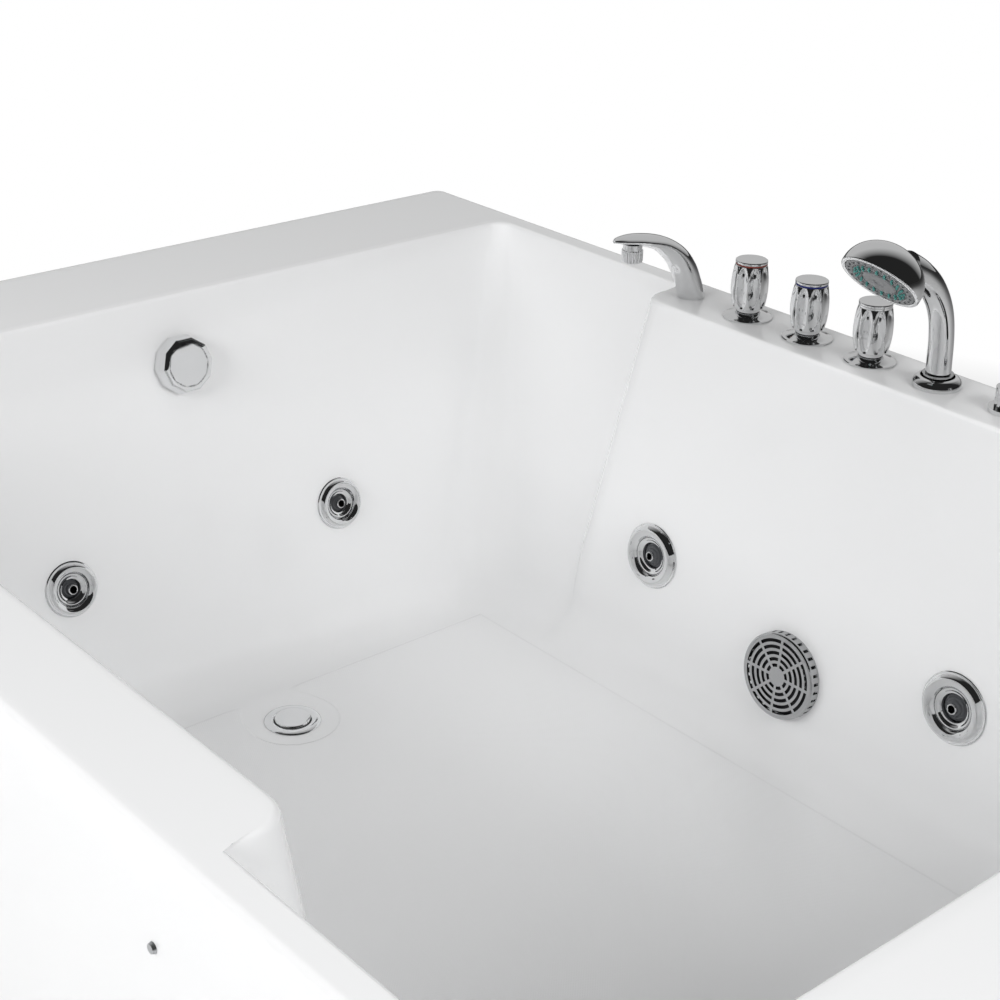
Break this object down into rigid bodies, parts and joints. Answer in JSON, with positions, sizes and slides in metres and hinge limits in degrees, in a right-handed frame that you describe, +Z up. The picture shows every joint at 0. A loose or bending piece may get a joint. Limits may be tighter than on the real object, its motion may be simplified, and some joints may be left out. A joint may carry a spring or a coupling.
{
  "type": "jetted bathtub",
  "caption": "Rectangular drop-in jetted bathtub with a tap deck, spout, fluted knobs, hand shower, wall jets, suction cover, overflow, drain, pump and pipes on a levelled frame.",
  "frame": {"origin": "on the floor under the middle of the tub's outline", "axes": "+X towards the backrest end, +Y towards the deck that carries the taps, +Z up"},
  "size_m": [1.68, 1.15, 0.7856],
  "materials": {
    "acrylic": "glossy white acrylic",
    "chrome": "polished",
    "collar_chrome": "polished",
    "ring_chrome": "polished",
    "nozzle_grey": "smooth dark grey",
    "band_red": "smooth red",
    "band_blue": "smooth blue",
    "face_grey": "satin grey",
    "nozzle_rubber": "soft turquoise",
    "brass": "rough cast",
    "pipe_white": "plain",
    "cable_black": "plain",
    "board": "raw chipboard",
    "frame_paint": "satin grey paint",
    "zinc_steel": "zinc plated",
    "motor_paint": "satin black paint",
    "pump_plastic": "glass-filled plastic"
  },
  "bodies": {
    "tub": {"air_control_body": "chrome", "air_pipes": "pipe_white", "air_switch_body": "chrome", "apron_screws": "zinc_steel", "base_boards": "board", "drain_body": "pipe_white", "drain_cable": "cable_black", "drain_flange": "chrome", "frame_crossbars": "frame_paint", "frame_posts": "frame_paint", "frame_rails": "frame_paint", "front_apron": "acrylic", "jet_bezels": "chrome", "jet_bodies": "pipe_white", "knob_flanges": "chrome", "levelling_feet": "zinc_steel", "overflow_body": "pipe_white", "overflow_pipe": "pipe_white", "pump_motor": "motor_paint", "pump_volute": "pump_plastic", "shower_guide": "chrome", "spout_aerator": "chrome", "spout_body": "chrome", "spout_shank": "brass", "suction_body": "pipe_white", "suction_cover": "chrome", "suction_pipe": "pipe_white", "supply_tubes": "brass", "tub_shell": "acrylic", "valve_bodies": "brass", "water_pipes": "pipe_white"},
    "hot_tap": {"hot_knob": "chrome", "hot_band": "band_red", "hot_spindle": "brass"},
    "cold_tap": {"cold_knob": "chrome", "cold_band": "band_blue", "cold_spindle": "brass"},
    "diverter_tap": {"diverter_knob": "chrome", "diverter_spindle": "brass"},
    "shower_swivel": {"shower_collar": "collar_chrome"},
    "hand_shower": {"hand_shower_body": "chrome"},
    "spray_selector": {"shower_face": "face_grey", "shower_nozzles": "nozzle_rubber"},
    "air_control": {"air_control_knob": "chrome"},
    "air_switch": {"air_switch_button": "chrome"},
    "overflow_control": {"overflow_knob": "chrome"},
    "drain_stopper": {"drain_plug": "chrome"},
    "pump_rotor": {"pump_impeller": "pump_plastic"},
    "ring_end_deck_side": {"jet_ring_end_deck_side": "ring_chrome"},
    "nozzle_end_deck_side": {"jet_nozzle_end_deck_side": "nozzle_grey"},
    "ring_end_armrest_side": {"jet_ring_end_armrest_side": "ring_chrome"},
    "nozzle_end_armrest_side": {"jet_nozzle_end_armrest_side": "nozzle_grey"},
    "ring_deck_left": {"jet_ring_deck_left": "ring_chrome"},
    "nozzle_deck_left": {"jet_nozzle_deck_left": "nozzle_grey"},
    "ring_deck_right": {"jet_ring_deck_right": "ring_chrome"},
    "nozzle_deck_right": {"jet_nozzle_deck_right": "nozzle_grey"},
    "ring_armrest_left": {"jet_ring_armrest_left": "ring_chrome"},
    "nozzle_armrest_left": {"jet_nozzle_armrest_left": "nozzle_grey"},
    "ring_armrest_right": {"jet_ring_armrest_right": "ring_chrome"},
    "nozzle_armrest_right": {"jet_nozzle_armrest_right": "nozzle_grey"}
  },
  "joints": [
    {"name": "hot_turn", "type": "hinge", "parent": "tub", "child": "hot_tap", "pos_m": [-0.192, 0.525, 0.6], "axis": [0, 0, 1], "range_deg": [0, 90]},
    {"name": "cold_turn", "type": "hinge", "parent": "tub", "child": "cold_tap", "pos_m": [-0.099, 0.525, 0.6], "axis": [0, 0, 1], "range_deg": [-90, 0]},
    {"name": "diverter_turn", "type": "hinge", "parent": "tub", "child": "diverter_tap", "pos_m": [-0.006, 0.525, 0.6], "axis": [0, 0, 1], "range_deg": [0, 90]},
    {"name": "shower_swing", "type": "hinge", "parent": "tub", "child": "shower_swivel", "pos_m": [0.087, 0.525, 0.6], "axis": [0, 0, 1], "range_deg": [-60, 60]},
    {"name": "shower_lift", "type": "slide", "parent": "shower_swivel", "child": "hand_shower", "axis": [0, 0, 1], "range_m": [0, 0.1]},
    {"name": "spray_turn", "type": "hinge", "parent": "hand_shower", "child": "spray_selector", "pos_m": [0.087, 0.404, 0.741], "axis": [0, 0.682, 0.7314], "range_deg": [0, 120]},
    {"name": "air_turn", "type": "hinge", "parent": "tub", "child": "air_control", "pos_m": [0.18, 0.525, 0.6], "axis": [0, 0, 1], "range_deg": [0, 180]},
    {"name": "switch_press", "type": "slide", "parent": "tub", "child": "air_switch", "axis": [0, 0, -1], "range_m": [0, 0.004], "stiffness_N_per_m": 600, "springref_m": -0.002},
    {"name": "overflow_turn", "type": "hinge", "parent": "tub", "child": "overflow_control", "pos_m": [-0.64556, 0.016, 0.519], "axis": [0.9724, 0, 0.2334], "range_deg": [0, 90]},
    {"name": "stopper_lift", "type": "slide", "parent": "tub", "child": "drain_stopper", "axis": [0, 0, 1], "range_m": [0, 0.01]},
    {"name": "pump_spin", "type": "hinge", "parent": "tub", "child": "pump_rotor", "pos_m": [0.64, 0.1, 0.187], "axis": [0, 1, 0], "continuous": true},
    {"name": "ring_turn_end_deck_side", "type": "hinge", "parent": "tub", "child": "ring_end_deck_side", "pos_m": [-0.59204, 0.211, 0.296], "axis": [0.9724, 0, 0.2334], "range_deg": [0, 90]},
    {"name": "nozzle_tip_end_deck_side", "type": "hinge", "parent": "ring_end_deck_side", "child": "nozzle_end_deck_side", "pos_m": [-0.6003, 0.211, 0.29402], "axis": [0, 1, 0], "range_deg": [-12, 12]},
    {"name": "ring_turn_end_armrest_side", "type": "hinge", "parent": "tub", "child": "ring_end_armrest_side", "pos_m": [-0.59204, -0.179, 0.296], "axis": [0.9724, 0, 0.2334], "range_deg": [0, 90]},
    {"name": "nozzle_tip_end_armrest_side", "type": "hinge", "parent": "ring_end_armrest_side", "child": "nozzle_end_armrest_side", "pos_m": [-0.6003, -0.179, 0.29402], "axis": [0, 1, 0], "range_deg": [-12, 12]},
    {"name": "ring_turn_deck_left", "type": "hinge", "parent": "tub", "child": "ring_deck_left", "pos_m": [-0.245, 0.4435, 0.285], "axis": [0, -0.995, 0.0995], "range_deg": [0, 90]},
    {"name": "nozzle_tip_deck_left", "type": "hinge", "parent": "ring_deck_left", "child": "nozzle_deck_left", "pos_m": [-0.245, 0.45196, 0.28415], "axis": [1, 0, 0], "range_deg": [-12, 12]},
    {"name": "ring_turn_deck_right", "type": "hinge", "parent": "tub", "child": "ring_deck_right", "pos_m": [0.221, 0.4435, 0.285], "axis": [0, -0.995, 0.0995], "range_deg": [0, 90]},
    {"name": "nozzle_tip_deck_right", "type": "hinge", "parent": "ring_deck_right", "child": "nozzle_deck_right", "pos_m": [0.221, 0.45196, 0.28415], "axis": [1, 0, 0], "range_deg": [-12, 12]},
    {"name": "ring_turn_armrest_left", "type": "hinge", "parent": "tub", "child": "ring_armrest_left", "pos_m": [-0.245, -0.4515, 0.285], "axis": [0, 0.995, 0.0995], "range_deg": [0, 90]},
    {"name": "nozzle_tip_armrest_left", "type": "hinge", "parent": "ring_armrest_left", "child": "nozzle_armrest_left", "pos_m": [-0.245, -0.45996, 0.28415], "axis": [-1, 0, 0], "range_deg": [-12, 12]},
    {"name": "ring_turn_armrest_right", "type": "hinge", "parent": "tub", "child": "ring_armrest_right", "pos_m": [0.221, -0.4515, 0.285], "axis": [0, 0.995, 0.0995], "range_deg": [0, 90]},
    {"name": "nozzle_tip_armrest_right", "type": "hinge", "parent": "ring_armrest_right", "child": "nozzle_armrest_right", "pos_m": [0.221, -0.45996, 0.28415], "axis": [-1, 0, 0], "range_deg": [-12, 12]}
  ],
  "couplings": [
    {"joint": "stopper_lift", "follows": "overflow_turn", "m_per_rad": 0.00636}
  ]
}
